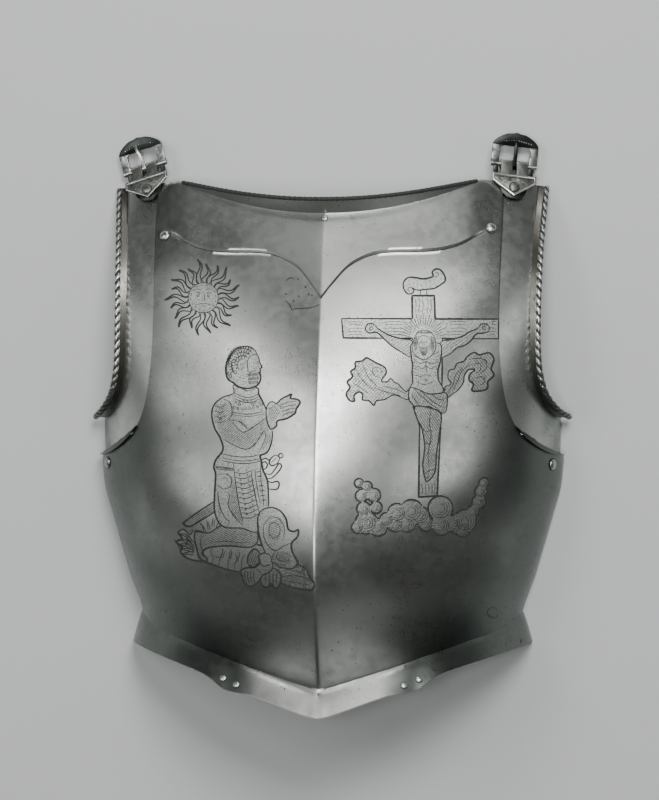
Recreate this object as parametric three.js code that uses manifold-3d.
// Breastplate of a steel cuirass, lying hollow side down.
// Millimetres. X runs across the breast, Y from the waist to the neck, Z up out of the breast.
import * as THREE from 'three';
import Module from 'manifold-3d';
import { mergeVertices } from 'three/addons/utils/BufferGeometryUtils.js';

const wasm = await Module();
wasm.setup();

// ---- driving dimensions ----
const SHEET = 2;          // thickness of every plate
const GAP = 0.3;          // play between neighbouring pieces
const PLATE_GAP = 0.6;    // between the main plate and a gusset
const LAP = 11;           // how far a gusset reaches under the main plate
const RIDGE = 0.38;       // share of a straight fold in the rounded section, 0 is an ellipse
const WAIST_Y = 75;       // where the side edge meets the waist flange
const SIDE_Y = 197;       // where the side edge meets the armhole
const FIELD_RISE = 1.5;   // height of the raised collar field
const FIELD_BEVEL = 2.2;  // width of the slope that leads up to it
const NECK_RADIUS = 262;  // arc of the neck crease, seen from the front
const NECK_Y = 383.5;     // neck crease at the keel
const NECK_HALF = 118;    // half the width of the neck opening
const TOP_Y = 409;        // top of the shoulders
const NECK_FLANGE = 10.5; // neck flange at the keel, across the breast
const ROLL = { radius: 2.4, sides: 6 };
const WAIST_FLARE = { centre: 13, side: 7.5 };
const ARM_FLANGE = 7;     // armhole flange, crease to the middle of its roll
const KEEL_HOLE = 0.8;    // radius of the pin hole under the waist crease
const CORNER_SLOT = { length: 4.5, width: 1.5, lean: 50 };

// The body's form: height of the keel, height of the side edge and half width, at each level.
const FORM = [
  { y: 0, keel: 104, side: 0, half: 150 },
  { y: 20, keel: 114, side: 0, half: 150 },
  { y: 50, keel: 129, side: 0, half: 150 },
  { y: 75, keel: 139, side: 0, half: 150 },
  { y: 102, keel: 147, side: 0, half: 159.4 },
  { y: 126, keel: 150, side: 0, half: 166.5 },
  { y: 150, keel: 149, side: 0, half: 173.5 },
  { y: 173, keel: 145.5, side: 0, half: 179.8 },
  { y: 197, keel: 140, side: 0, half: 182 },
  { y: 228, keel: 130, side: 0, half: 183 },
  { y: 260, keel: 118.5, side: 11, half: 181 },
  { y: 300, keel: 101.5, side: 22, half: 177 },
  { y: 340, keel: 83, side: 21, half: 174 },
  { y: 380, keel: 62, side: 8, half: 172 },
  { y: 412, keel: 47, side: -9.1, half: 172 },
];

// Crease where the waist flange turns out, and the flange's lower edge.
const WAIST_CREASE = [
  { x: 0, y: 19.4 },
  { x: 47, y: 34 },
  { x: 79, y: 44.6 },
  { x: 110, y: 55 },
  { x: 134, y: 63 },
  { x: 150, y: WAIST_Y },
];
const WAIST_EDGE = [
  { x: 0, y: 0 },
  { x: 10, y: 2.2 },
  { x: 50, y: 16 },
  { x: 62, y: 18 },
  { x: 74, y: 20.5 },
  { x: 85, y: 28.5 },
  { x: 96, y: 33.5 },
  { x: 130, y: 43.5 },
  { x: 158, y: 51 },
];

// Lower edge of the raised collar field, from its point on the keel to where it fades out.
const FIELD_EDGE = [
  { x: 0, y: 317 },
  { x: 8, y: 328 },
  { x: 19, y: 340.8 },
  { x: 31.5, y: 348.6 },
  { x: 46, y: 352.6 },
  { x: 82, y: 354 },
  { x: 98, y: 357 },
  { x: 109.5, y: 362 },
  { x: 120, y: 369 },
  { x: 136, y: 374 },
];
const FIELD_FADE = { from: 108, to: 130 };

// The main plate's armhole edge, and the crease of the gusset's flange beside it, from the side to the shoulder.
const SEAM = [
  { x: 182, y: SIDE_Y },
  { x: 173.5, y: 198 },
  { x: 166, y: 201.5 },
  { x: 156.6, y: 208 },
  { x: 149, y: 216 },
  { x: 141.5, y: 232 },
  { x: 137.5, y: 250 },
  { x: 134.3, y: 280 },
  { x: 133.8, y: 325 },
  { x: 134.8, y: 376 },
  { x: 135, y: TOP_Y },
];
const ARM_CREASE = [
  { x: 182.2, y: 226 },
  { x: 178, y: 228.5 },
  { x: 173, y: 233 },
  { x: 167, y: 241 },
  { x: 163, y: 251 },
  { x: 160, y: 267 },
  { x: 159, y: 292 },
  { x: 159, y: 325 },
  { x: 160, y: 365 },
  { x: 163, y: TOP_Y },
];

// Buckles, in a frame of their own on the shoulder: x across, y along the shoulder, z off the plate.
const SHOULDER = { x: 143, y: 404, pitch: 22, roll: 18 };
const SWIVEL = { left: 11, right: 0 };
const STAND = 0.95;       // under leaf of a hasp, off the plate
const LEAF = 1.4;
const BAR = { y: 20.5, z: 0.3, radius: 2.1 };
const NECK_OF_HASP = 10.75;
const HEAD = { half: 17.5, top: 10.8, side: 4.9, tip: -7.3, rim: 1.6, rimRise: 0.5 };
const TONGUE_SLOT = 1.8;
const TONGUE_LEAN = { left: 14, right: 0 };
const TONGUE_ROOT = 8;    // straight part of a tongue, from the bar
const FRAME = { half: 18.3, arm: 6.3, thick: 3, shoulder: 15, crest: 25.6, window: 14.4 };
const LOWER_LOOP = { half: 16, arm: 4, length: 9.3, dip: 17.5, bar: 1.4, thick: 2.4 };

const STEEL = { colour: 0x8d9089, roughness: 0.36, metalness: 1 };
const DARK_STEEL = { colour: 0x5d5d57, roughness: 0.5, metalness: 1 };
const RIVET_STEEL = { colour: 0x9c9d97, roughness: 0.32, metalness: 1 };

// ---- tables and surface ----
const clamp = THREE.MathUtils.clamp;
const lerp = THREE.MathUtils.lerp;
const radians = THREE.MathUtils.degToRad;

// Value of a table's column at a level, on a smooth curve through its rows.
function smooth(rows, by, column, at) {
  const end = rows.length - 1;
  const level = clamp(at, rows[0][by], rows[end][by]);
  const i = clamp(rows.findIndex((row) => row[by] > level) - 1, 0, end - 1);
  const k = level >= rows[end][by] ? end - 1 : i;
  const slope = (n) => {
    const [a, b] = [rows[Math.max(n - 1, 0)], rows[Math.min(n + 1, end)]];
    return (b[column] - a[column]) / (b[by] - a[by]);
  };
  const [a, b] = [rows[k], rows[k + 1]];
  const span = b[by] - a[by];
  const t = (level - a[by]) / span;
  const [t2, t3] = [t * t, t * t * t];
  return (2 * t3 - 3 * t2 + 1) * a[column] + (t3 - 2 * t2 + t) * span * slope(k)
    + (3 * t2 - 2 * t3) * b[column] + (t3 - t2) * span * slope(k + 1);
}

const form = (column, y) => smooth(FORM, 'y', column, y);
const waistCrease = (x) => smooth(WAIST_CREASE, 'x', 'y', Math.abs(x));
const fieldEdge = (x) => smooth(FIELD_EDGE, 'x', 'y', Math.abs(x));
const neckCrease = (x) => {
  const reach = Math.min(Math.abs(x), NECK_HALF);
  return NECK_Y + NECK_RADIUS - Math.sqrt(NECK_RADIUS ** 2 - reach ** 2);
};

// A point of the body's outer surface and the direction that it faces.
function onBody(x, y) {
  const half = form('half', y);
  const turn = Math.asin(clamp(x / half, -1, 1));
  const [sin, cos] = [Math.abs(Math.sin(turn)), Math.cos(turn)];
  const bow = (1 - RIDGE) * cos + RIDGE * (1 - sin);
  const [keel, side] = [form('keel', y), form('side', y)];
  const rate = (column) => (form(column, y + 1) - form(column, y - 1)) / 2;
  const point = new THREE.Vector3(x, y, side + (keel - side) * bow);
  const fall = (keel - side) * ((1 - RIDGE) * sin + RIDGE * cos) * Math.sign(turn);
  const across = new THREE.Vector3(half * cos, 0, -fall);
  const rise = rate('side') * (1 - bow) + rate('keel') * bow;
  const along = new THREE.Vector3(rate('half') * Math.sin(turn), 1, rise);
  return { point, normal: across.cross(along).normalize() };
}

// ---- closed solids ----
// A grid of places, rows along Y and columns along X, given the plate's thickness under it. Each place is a point
// and the direction that it faces, or a point alone where the grid itself shows which way it faces. Columns before
// the middle one are divided the other way, so that both sides of the breast mirror each other.
function sheetOf(grid, middle = 0) {
  const [rows, columns] = [grid.length, grid[0].length];
  const at = (r, c) => grid[clamp(r, 0, rows - 1)][clamp(c, 0, columns - 1)].point;
  const positions = [];
  const under = [];
  for (let r = 0; r < rows; r++) {
    for (let c = 0; c < columns; c++) {
      const across = at(r, c + 1).clone().sub(at(r, c - 1));
      const along = at(r + 1, c).clone().sub(at(r - 1, c));
      const normal = grid[r][c].normal ?? across.cross(along).normalize();
      const low = at(r, c).clone().addScaledVector(normal, -SHEET);
      positions.push(...at(r, c).toArray());
      under.push(low.x, low.y, Math.max(low.z, 0));
    }
  }
  const count = rows * columns;
  const index = [];
  const quad = (a, b, c, d) => index.push(a, b, c, a, c, d);
  const id = (r, c) => r * columns + c;
  for (let r = 0; r + 1 < rows; r++) {
    for (let c = 0; c + 1 < columns; c++) {
      const corners = [id(r, c), id(r, c + 1), id(r + 1, c + 1), id(r + 1, c)];
      if (c < middle) corners.push(corners.shift());
      quad(...corners);
      const [first, ...others] = corners.map((corner) => count + corner);
      quad(first, ...others.reverse());
    }
  }
  const wall = (a, b) => quad(a, count + a, count + b, b);
  for (let c = 0; c + 1 < columns; c++) {
    wall(id(0, c), id(0, c + 1));
    wall(id(rows - 1, c + 1), id(rows - 1, c));
  }
  for (let r = 0; r + 1 < rows; r++) {
    wall(id(r + 1, 0), id(r, 0));
    wall(id(r, columns - 1), id(r + 1, columns - 1));
  }
  return geometryOf([...positions, ...under], index);
}

function geometryOf(positions, index) {
  const geometry = new THREE.BufferGeometry();
  geometry.setAttribute('position', new THREE.Float32BufferAttribute(positions, 3));
  geometry.setIndex(index);
  return geometry;
}

function solidOf(source) {
  const bare = source.clone();
  bare.deleteAttribute('normal');
  bare.deleteAttribute('uv');
  const merged = mergeVertices(bare, 1e-4);
  return new wasm.Manifold(new wasm.Mesh({
    numProp: 3,
    vertProperties: new Float32Array(merged.attributes.position.array),
    triVerts: new Uint32Array(merged.index.array),
  }));
}

function meshOf(solid) {
  const { vertProperties, triVerts } = solid.getMesh();
  return geometryOf(Array.from(vertProperties), Array.from(triVerts));
}

const joined = (...sources) => meshOf(sources.map(solidOf).reduce((all, one) => all.add(one)));

function without(source, cutters) {
  return meshOf(cutters.map(solidOf).reduce((rest, cutter) => rest.subtract(cutter), solidOf(source)));
}

function mirrored(source) {
  const copy = source.clone().scale(-1, 1, 1);
  const corners = copy.index.array;
  for (let i = 0; i < corners.length; i += 3) {
    [corners[i], corners[i + 1]] = [corners[i + 1], corners[i]];
  }
  return copy;
}

// A round bead along a row of points, with a section at each of them.
function rollAlong(points) {
  const last = points.length - 1;
  const { radius, sides } = ROLL;
  const positions = points.flatMap((centre, i) => {
    const heading = points[Math.min(i + 1, last)].clone().sub(points[Math.max(i - 1, 0)]).normalize();
    const side = heading.clone().cross(new THREE.Vector3(0, 0, 1)).normalize();
    const up = side.clone().cross(heading);
    return Array.from({ length: sides }, (_, k) => {
      const angle = (2 * Math.PI * k) / sides;
      return centre.clone().addScaledVector(side, radius * Math.cos(angle))
        .addScaledVector(up, radius * Math.sin(angle)).toArray();
    }).flat();
  });
  const index = [];
  for (let i = 0; i < last; i++) {
    for (let k = 0; k < sides; k++) {
      const [a, b] = [i * sides + k, i * sides + ((k + 1) % sides)];
      index.push(a, b + sides, b, a, a + sides, b + sides);
    }
  }
  const end = last * sides;
  for (let k = 1; k + 1 < sides; k++) index.push(0, k, k + 1, end, end + k + 1, end + k);
  return geometryOf(positions, index);
}

// ---- main plate ----
const COLUMNS = 17;       // from the keel to one side edge
const ROWS = { belly: 9, chest: 14, collar: 4 };

const seamLine = lineOnBody(SEAM);
const armLine = lineOnBody(ARM_CREASE);
const seamAtField = shareAt(seamLine, fieldEdge(SEAM.at(-2).x));
const seamAtFieldTop = shareAt(seamLine, fieldEdge(SEAM.at(-2).x) + FIELD_BEVEL);

// Where the main plate's rows above the side edge end, as shares of the seam's length.
const steps = (count) => Array.from({ length: count + 1 }, (_, i) => i / count);
const CHEST_ENDS = steps(ROWS.chest).map((share) => seamAtField * share);
const COLLAR_ENDS = steps(ROWS.collar).map((share) => lerp(seamAtFieldTop, 1, share));
const sidePoint = (y) => new THREE.Vector3(form('half', y), y, 0);

// A curve on the body through a table of places, measured by its true length.
function lineOnBody(rows) {
  const flat = new THREE.SplineCurve(rows.map(({ x, y }) => new THREE.Vector2(x, y)));
  return new THREE.CatmullRomCurve3(flat.getSpacedPoints(60).map(({ x, y }) => onBody(x, y).point));
}

// How far along a line that rises in Y, from 0 to 1, it reaches the level y.
function shareAt(line, y) {
  let [low, high] = [0, 1];
  for (let i = 0; i < 30; i++) {
    const middle = (low + high) / 2;
    if (line.getPointAt(middle).y < y) low = middle;
    else high = middle;
  }
  return low;
}

// One row of points between two lines across the plate, ending on a point of its side edge.
function rowBetween(low, high, share, end, lift) {
  const sideShare = clamp((end.y - low(end.x)) / (high(end.x) - low(end.x)), 0, 1);
  const reach = Math.asin(clamp(end.x / form('half', end.y), 0, 1));
  const row = [];
  for (let c = 1 - COLUMNS; c < COLUMNS; c++) {
    const u = c / (COLUMNS - 1);
    const t = lerp(share, sideShare, Math.abs(u) ** 4);
    let [x, y] = [end.x * u, end.y];
    for (let pass = 0; pass < 4; pass++) {
      y = Math.abs(u) === 1 ? end.y : lerp(low(x), high(x), t);
      x = form('half', y) * Math.sin(u * reach);
    }
    row.push(raised(onBody(x, y), lift(x)));
  }
  return row;
}

// A place moved out of the surface, along the way that it faces.
const raised = ({ point, normal }, lift) => ({ point: point.addScaledVector(normal, lift), normal });

const fieldLift = (x) => FIELD_RISE * (1 - THREE.MathUtils.smoothstep(Math.abs(x), FIELD_FADE.from, FIELD_FADE.to));

// A point of the waist flange that leaves the crease at x: share 0 is the crease and 1 the lower edge.
function onWaistFlange(x, share) {
  const { point, normal } = onBody(x, waistCrease(x));
  const out = new THREE.Vector3(normal.x, 0, normal.z).normalize();
  const far = Math.abs(x) / WAIST_CREASE.at(-1).x;
  const flare = lerp(WAIST_FLARE.centre, WAIST_FLARE.side, far * far);
  const place = point.clone().addScaledVector(out, flare * share ** 0.8);
  place.y = lerp(point.y, smooth(WAIST_EDGE, 'x', 'y', Math.abs(place.x)), share);
  return place;
}

function facing(place, x, share) {
  const d = 0.5;
  const across = place(x + d, share).sub(place(x - d, share));
  const along = place(x, share - 0.05).sub(place(x, share + 0.05));
  return across.cross(along).normalize();
}

// A point of the neck flange above the crease at x.
function onNeckFlange(point, share) {
  const width = Math.max(1, NECK_FLANGE * (1 - (point.x / NECK_HALF) ** 2) ** 0.8 || 0);
  const rise = Math.max(0, width - 1) * 0.95;
  return point.clone().add(new THREE.Vector3(0, width * share, rise * share));
}

function mainPlateGrid() {
  const flat = () => 0;
  const sideLine = () => SIDE_Y;
  const fieldTop = (x) => fieldEdge(x) + FIELD_BEVEL;
  const grid = [];
  const belly = (i) => rowBetween(waistCrease, sideLine, i / ROWS.belly,
    sidePoint(lerp(WAIST_Y, SIDE_Y, i / ROWS.belly)), flat);
  const creaseRow = belly(0);
  for (const share of [1, 0.5]) {
    grid.push(creaseRow.map(({ point }) => ({ point: onWaistFlange(point.x, share) })));
  }
  for (let i = 0; i < ROWS.belly; i++) grid.push(belly(i));

  CHEST_ENDS.forEach((end, i) => {
    grid.push(rowBetween(sideLine, fieldEdge, i / ROWS.chest, seamLine.getPointAt(end), flat));
  });
  COLLAR_ENDS.forEach((end, i) => {
    grid.push(rowBetween(fieldTop, neckCrease, i / ROWS.collar, seamLine.getPointAt(end), fieldLift));
  });
  const neck = grid.at(-1);
  for (const share of [0.5, 1]) grid.push(neck.map(({ point }) => ({ point: onNeckFlange(point, share) })));
  return grid;
}

function neckRoll(grid) {
  const edge = grid.at(-1).map(({ point }) => point).filter(({ x }) => Math.abs(x) < NECK_HALF);
  return rollAlong(edge.map((point) => point.clone().add(new THREE.Vector3(0, 0, -SHEET / 2))));
}

function mainPlate(holes) {
  const grid = mainPlateGrid();
  return without(joined(sheetOf(grid, COLUMNS - 1), neckRoll(grid)), holes);
}

// ---- gussets ----
function gussetRow(share) {
  const seam = seamLine.getPointAt(share);
  const heading = seamLine.getTangentAt(share);
  const crease = armLine.getPointAt(share);
  const { normal } = onBody(seam.x, seam.y);
  const inner = seam.clone().addScaledVector(heading.cross(normal), -LAP);
  const row = [0, 0.5, 1].map((t) => inner.clone().lerp(seam, t));
  for (const t of [0.34, 0.67, 1]) row.push(seam.clone().lerp(crease, t));
  const places = row.map(({ x, y }) => raised(onBody(x, y), -SHEET - PLATE_GAP));
  const { point } = places.at(-1);
  const direction = armFlangeDirection(share);
  for (const t of [0.5, 1]) places.push({ point: point.clone().addScaledVector(direction, ARM_FLANGE * t) });
  return places;
}

// Which way the armhole flange stands off its crease: turned up over the breast, and less so at the shoulder.
function armFlangeDirection(share) {
  const crease = armLine.getPointAt(share);
  const { normal } = onBody(crease.x, crease.y);
  const away = armLine.getTangentAt(share).cross(normal).normalize();
  const turn = radians(share < 0.5 ? lerp(82, 58, share * 2) : lerp(58, 22, share * 2 - 1));
  return away.multiplyScalar(Math.cos(turn)).addScaledVector(normal, Math.sin(turn));
}

function gusset(holes) {
  const grid = [...CHEST_ENDS, ...COLLAR_ENDS.slice(1)].map(gussetRow);
  const roll = rollAlong(grid.map((row) => row.at(-1).point));
  return without(joined(sheetOf(grid), roll), holes);
}

// ---- rivets ----
// A turned rivet along +Z: a head that stands on the plate, a shank, and a spread end behind it.
function rivet({ head, rise, shank, grip }) {
  const profile = [
    [0, -grip - 0.9], [shank * 1.5, -grip - 0.9], [shank * 1.5, -grip], [shank, -grip], [shank, GAP],
    [head, GAP], [head * 0.93, GAP + rise * 0.45], [head * 0.6, GAP + rise * 0.86], [0, GAP + rise],
  ].map(([x, y]) => new THREE.Vector2(x, y));
  return new THREE.LatheGeometry(profile, 10).rotateX(Math.PI / 2);
}

function shankHole({ shank }, place) {
  const hole = new THREE.CylinderGeometry(shank + GAP, shank + GAP, 14, 10).rotateX(Math.PI / 2);
  return hole.applyMatrix4(placed(place));
}

// The transform that stands +Z on a point's normal.
function placed({ point, normal }) {
  const turn = new THREE.Quaternion().setFromUnitVectors(new THREE.Vector3(0, 0, 1), normal);
  return new THREE.Matrix4().compose(point, turn, new THREE.Vector3(1, 1, 1));
}

// The two leaves of a hasp, above the plate.
const UNDER = { low: STAND, high: STAND + LEAF };
const UPPER = { low: UNDER.high + GAP, high: UNDER.high + GAP + LEAF };

const BACK = SHEET + GAP;
const GUSSET_RIVET = { head: 4.3, rise: 2, shank: 1.8, grip: 2 * SHEET + PLATE_GAP + 3 * GAP };
const NECK_RIVET = { head: 2.3, rise: 0.7, shank: 1.1, grip: BACK };
const FLANGE_RIVET = { head: 2.6, rise: 1.1, shank: 1.2, grip: BACK };
const HASP_RIVET = { head: 3.9, rise: 1.3, shank: 1.7, grip: UPPER.high + 2 * SHEET + PLATE_GAP + 3 * GAP };

const onField = (x, y) => raised(onBody(x, y), fieldLift(x));
const onFlange = (x, share) => ({ point: onWaistFlange(x, share), normal: facing(onWaistFlange, x, share) });

const RIVETS = [
  { name: 'gusset_rivet_upper_left', kind: GUSSET_RIVET, place: onField(-127, 368) },
  { name: 'gusset_rivet_upper_right', kind: GUSSET_RIVET, place: onField(127, 373) },
  { name: 'gusset_rivet_lower_left', kind: GUSSET_RIVET, place: onBody(-174, 191) },
  { name: 'gusset_rivet_lower_right', kind: GUSSET_RIVET, place: onBody(174, 190) },
  { name: 'neck_rivet', kind: NECK_RIVET, place: onField(0, 379.5) },
  { name: 'flange_rivet_1', kind: FLANGE_RIVET, place: onFlange(-70, 0.66) },
  { name: 'flange_rivet_2', kind: FLANGE_RIVET, place: onFlange(-59, 0.74) },
  { name: 'flange_rivet_3', kind: FLANGE_RIVET, place: onFlange(60, 0.74) },
  { name: 'flange_rivet_4', kind: FLANGE_RIVET, place: onFlange(71, 0.68) },
];

// ---- hasps and buckles, each in the shoulder's frame ----
function outline(points) {
  return new THREE.Shape(points.map(([x, y]) => new THREE.Vector2(x, y)));
}

function slab(shape, low, high) {
  return new THREE.ExtrudeGeometry(shape, { depth: high - low, bevelEnabled: false, curveSegments: 6 })
    .translate(0, 0, low);
}

// A side view, drawn in Y and Z, given a width across X.
function acrossX(shape, half) {
  return new THREE.ExtrudeGeometry(shape, { depth: 2 * half, bevelEnabled: false, curveSegments: 8 })
    .applyMatrix4(new THREE.Matrix4().makeBasis(
      new THREE.Vector3(0, 1, 0), new THREE.Vector3(0, 0, 1), new THREE.Vector3(1, 0, 0)))
    .translate(-half, 0, 0);
}

function headOutline(inset) {
  const { half, top, side, tip } = HEAD;
  const w = half - inset;
  return outline([[-w, top - inset], [-w, side + inset * 0.3], [0, tip + inset * 1.3],
    [w, side + inset * 0.3], [w, top - inset]].reverse());
}

// The strap's fold round the bar, as the side view of one bent strip.
function foldOutline() {
  const inner = BAR.radius + GAP + 0.1;
  const outer = inner + LEAF;
  const arc = (radius, from, to) => Array.from({ length: 11 }, (_, i) => {
    const angle = radians(lerp(from, to, i / 10));
    return [BAR.y + radius * Math.cos(angle), BAR.z + radius * Math.sin(angle)];
  });
  const start = 5;
  return outline([
    [start, UPPER.high], ...arc(outer, 88, -108), [8.5, UNDER.low], [start, UNDER.low],
    [start, UNDER.high], [8.9, UNDER.high], ...arc(inner, -108, 88), [start, UPPER.low],
  ].reverse());
}

function hasp() {
  const head = joined(slab(headOutline(0), UPPER.low, UPPER.high + HEAD.rimRise),
    slab(outline([[-NECK_OF_HASP, 5], [NECK_OF_HASP, 5], [NECK_OF_HASP, 12], [-NECK_OF_HASP, 12]]),
      UPPER.low, UPPER.high));
  const field = slab(headOutline(HEAD.rim), UPPER.high, UPPER.high + 2);
  const tip = new THREE.Shape();
  tip.moveTo(-NECK_OF_HASP, 7);
  tip.lineTo(-NECK_OF_HASP, 1);
  tip.bezierCurveTo(-NECK_OF_HASP, -6, -4, -8.6, 1.2, -8.6);
  tip.bezierCurveTo(5.5, -8.6, NECK_OF_HASP, -5, NECK_OF_HASP, 1);
  tip.lineTo(NECK_OF_HASP, 7);
  const leaves = joined(head, slab(tip, UNDER.low, UNDER.high), acrossX(foldOutline(), NECK_OF_HASP));
  const slot = new THREE.BoxGeometry(2 * TONGUE_SLOT, 14, 14).translate(0, BAR.y - 1, BAR.z);
  const bore = new THREE.CylinderGeometry(HASP_RIVET.shank + GAP, HASP_RIVET.shank + GAP, 14, 10)
    .rotateX(Math.PI / 2);
  return without(leaves, [field, slot, bore]);
}

// The double loop, lying in XY with its bar on the X axis.
function buckleFrame() {
  const { half, arm, thick, shoulder, crest, window } = FRAME;
  const inside = half - arm;
  const upper = new THREE.Shape();
  upper.moveTo(half, 0);
  upper.lineTo(half, shoulder);
  upper.bezierCurveTo(half, shoulder + 3, half - 5, crest - 3.5, 7, crest - 1.2);
  upper.quadraticCurveTo(3, crest - 0.8, 0, crest);
  upper.quadraticCurveTo(-3, crest - 0.8, -7, crest - 1.2);
  upper.bezierCurveTo(5 - half, crest - 3.5, -half, shoulder + 3, -half, shoulder);
  upper.lineTo(-half, 0);
  upper.lineTo(-inside, 0);
  upper.lineTo(-inside, window - 2.5);
  upper.quadraticCurveTo(-inside, window, 2.5 - inside, window);
  upper.lineTo(inside - 2.5, window);
  upper.quadraticCurveTo(inside, window, inside, window - 2.5);
  upper.lineTo(inside, 0);
  const loop = LOWER_LOOP;
  const lower = [
    ...[-1, 1].map((side) => new THREE.BoxGeometry(loop.arm, loop.length, loop.thick)
      .translate(side * (loop.half - loop.arm / 2), -loop.length / 2, 0)),
    new THREE.BoxGeometry(2 * loop.half, 2 * loop.bar, loop.thick).translate(0, -loop.length, 0),
  ].map((piece) => piece.rotateX(radians(loop.dip - SHOULDER.pitch)));
  const pin = new THREE.CylinderGeometry(BAR.radius, BAR.radius, 2 * half, 12).rotateZ(Math.PI / 2);
  return joined(slab(upper, -thick / 2, thick / 2), ...lower, pin);
}

// A tongue whose eye turns on the bar. Its root runs straight through the slot, and its tip leans to one side.
function tongue(lean) {
  const width = TONGUE_SLOT - GAP;
  const eye = new THREE.Shape();
  eye.absarc(0, 0, BAR.radius + GAP + LEAF, 0, 2 * Math.PI);
  eye.holes.push(new THREE.Path().absarc(0, 0, BAR.radius + GAP, 0, 2 * Math.PI, true));
  const low = FRAME.thick / 2 + GAP;
  const high = low + 2.2;
  const reach = FRAME.crest - 6.4;
  const root = outline([[0, low + 0.9], [2.9, low - 0.4], [TONGUE_ROOT, low + 0.7], [TONGUE_ROOT, high],
    [3, high], [0, low + 1.9]]);
  const end = outline([[TONGUE_ROOT, low + 0.7], [FRAME.window, low], [reach - 1.5, low], [reach, low + 0.6],
    [reach - 1, low + 1.4], [FRAME.window - 2, high], [TONGUE_ROOT, high]]);
  const tip = acrossX(end, width);
  const places = tip.attributes.position;
  for (let i = 0; i < places.count; i++) {
    places.setX(i, places.getX(i) - (places.getY(i) - TONGUE_ROOT) * Math.tan(radians(lean)));
  }
  return joined(acrossX(eye, width), acrossX(root, width), tip);
}

// ---- assembly ----
function named(name, geometry, { colour, roughness, metalness }) {
  const mesh = new THREE.Mesh(geometry,
    new THREE.MeshStandardMaterial({ color: colour, roughness, metalness }));
  mesh.name = name;
  return mesh;
}

// The shoulder's frame on one side: x across, y along the shoulder away from the breast, z off the plate.
function shoulderFrame(side) {
  const { point } = onBody(side * SHOULDER.x, SHOULDER.y);
  const along = new THREE.Vector3(0, 1, -Math.tan(radians(SHOULDER.pitch))).normalize();
  const off = new THREE.Vector3(side * Math.tan(radians(SHOULDER.roll)), Math.tan(radians(SHOULDER.pitch)), 1)
    .normalize();
  const basis = new THREE.Matrix4().makeBasis(along.clone().cross(off), along, off);
  return basis.setPosition(point);
}

function shoulderGroup(name, side) {
  const group = new THREE.Group();
  group.applyMatrix4(shoulderFrame(side));
  group.add(named(`hasp_rivet_${name}`,
    rivet(HASP_RIVET).translate(0, 0, UPPER.high), RIVET_STEEL));
  const swivel = new THREE.Group();
  swivel.rotation.z = radians(SWIVEL[name]);
  swivel.add(named(`hasp_${name}`, hasp(), STEEL));
  const bar = new THREE.Group();
  bar.position.set(0, BAR.y, BAR.z);
  bar.rotation.x = radians(SHOULDER.pitch);
  bar.add(named(`buckle_frame_${name}`, buckleFrame(), DARK_STEEL));
  bar.add(named(`tongue_${name}`, tongue(TONGUE_LEAN[name]), STEEL));
  swivel.add(bar);
  group.add(swivel);
  return group;
}

function haspHole(side) {
  const hole = new THREE.CylinderGeometry(HASP_RIVET.shank + GAP, HASP_RIVET.shank + GAP, 24, 10);
  return hole.rotateX(Math.PI / 2).applyMatrix4(shoulderFrame(side));
}

// The waist flange's own holes: a pin hole on the keel and a slot in one corner.
function flangeHoles() {
  const pin = new THREE.CylinderGeometry(KEEL_HOLE, KEEL_HOLE, 14, 8).rotateX(Math.PI / 2);
  const { length, width, lean } = CORNER_SLOT;
  const slot = new THREE.BoxGeometry(length, width, 14).rotateZ(radians(lean));
  return [pin.applyMatrix4(placed(onFlange(0, 0.12))), slot.applyMatrix4(placed(onFlange(143.6, 0.8)))];
}

function cuirass() {
  const assembly = new THREE.Group();
  const holes = [...RIVETS.map(({ kind, place }) => shankHole(kind, place)), ...flangeHoles()];
  assembly.add(named('main_plate', mainPlate(holes), STEEL));
  const sided = (x) => RIVETS.filter(({ kind, place }) => kind === GUSSET_RIVET && place.point.x * x > 0)
    .map(({ kind, place }) => shankHole(kind, place));
  assembly.add(named('gusset_right', gusset([...sided(1), haspHole(1)]), STEEL));
  const leftHoles = [...sided(-1), haspHole(-1)].map((hole) => mirrored(hole));
  assembly.add(named('gusset_left', mirrored(gusset(leftHoles)), STEEL));
  for (const { name, kind, place } of RIVETS) {
    const mesh = named(name, rivet(kind), RIVET_STEEL);
    mesh.applyMatrix4(placed(place));
    assembly.add(mesh);
  }
  assembly.add(shoulderGroup('left', -1), shoulderGroup('right', 1));
  return assembly;
}

const group = cuirass();
const box = new THREE.Box3().setFromObject(group, true);
const middle = box.getCenter(new THREE.Vector3());
group.position.set(-middle.x, -middle.y, -box.min.z);

export default group;
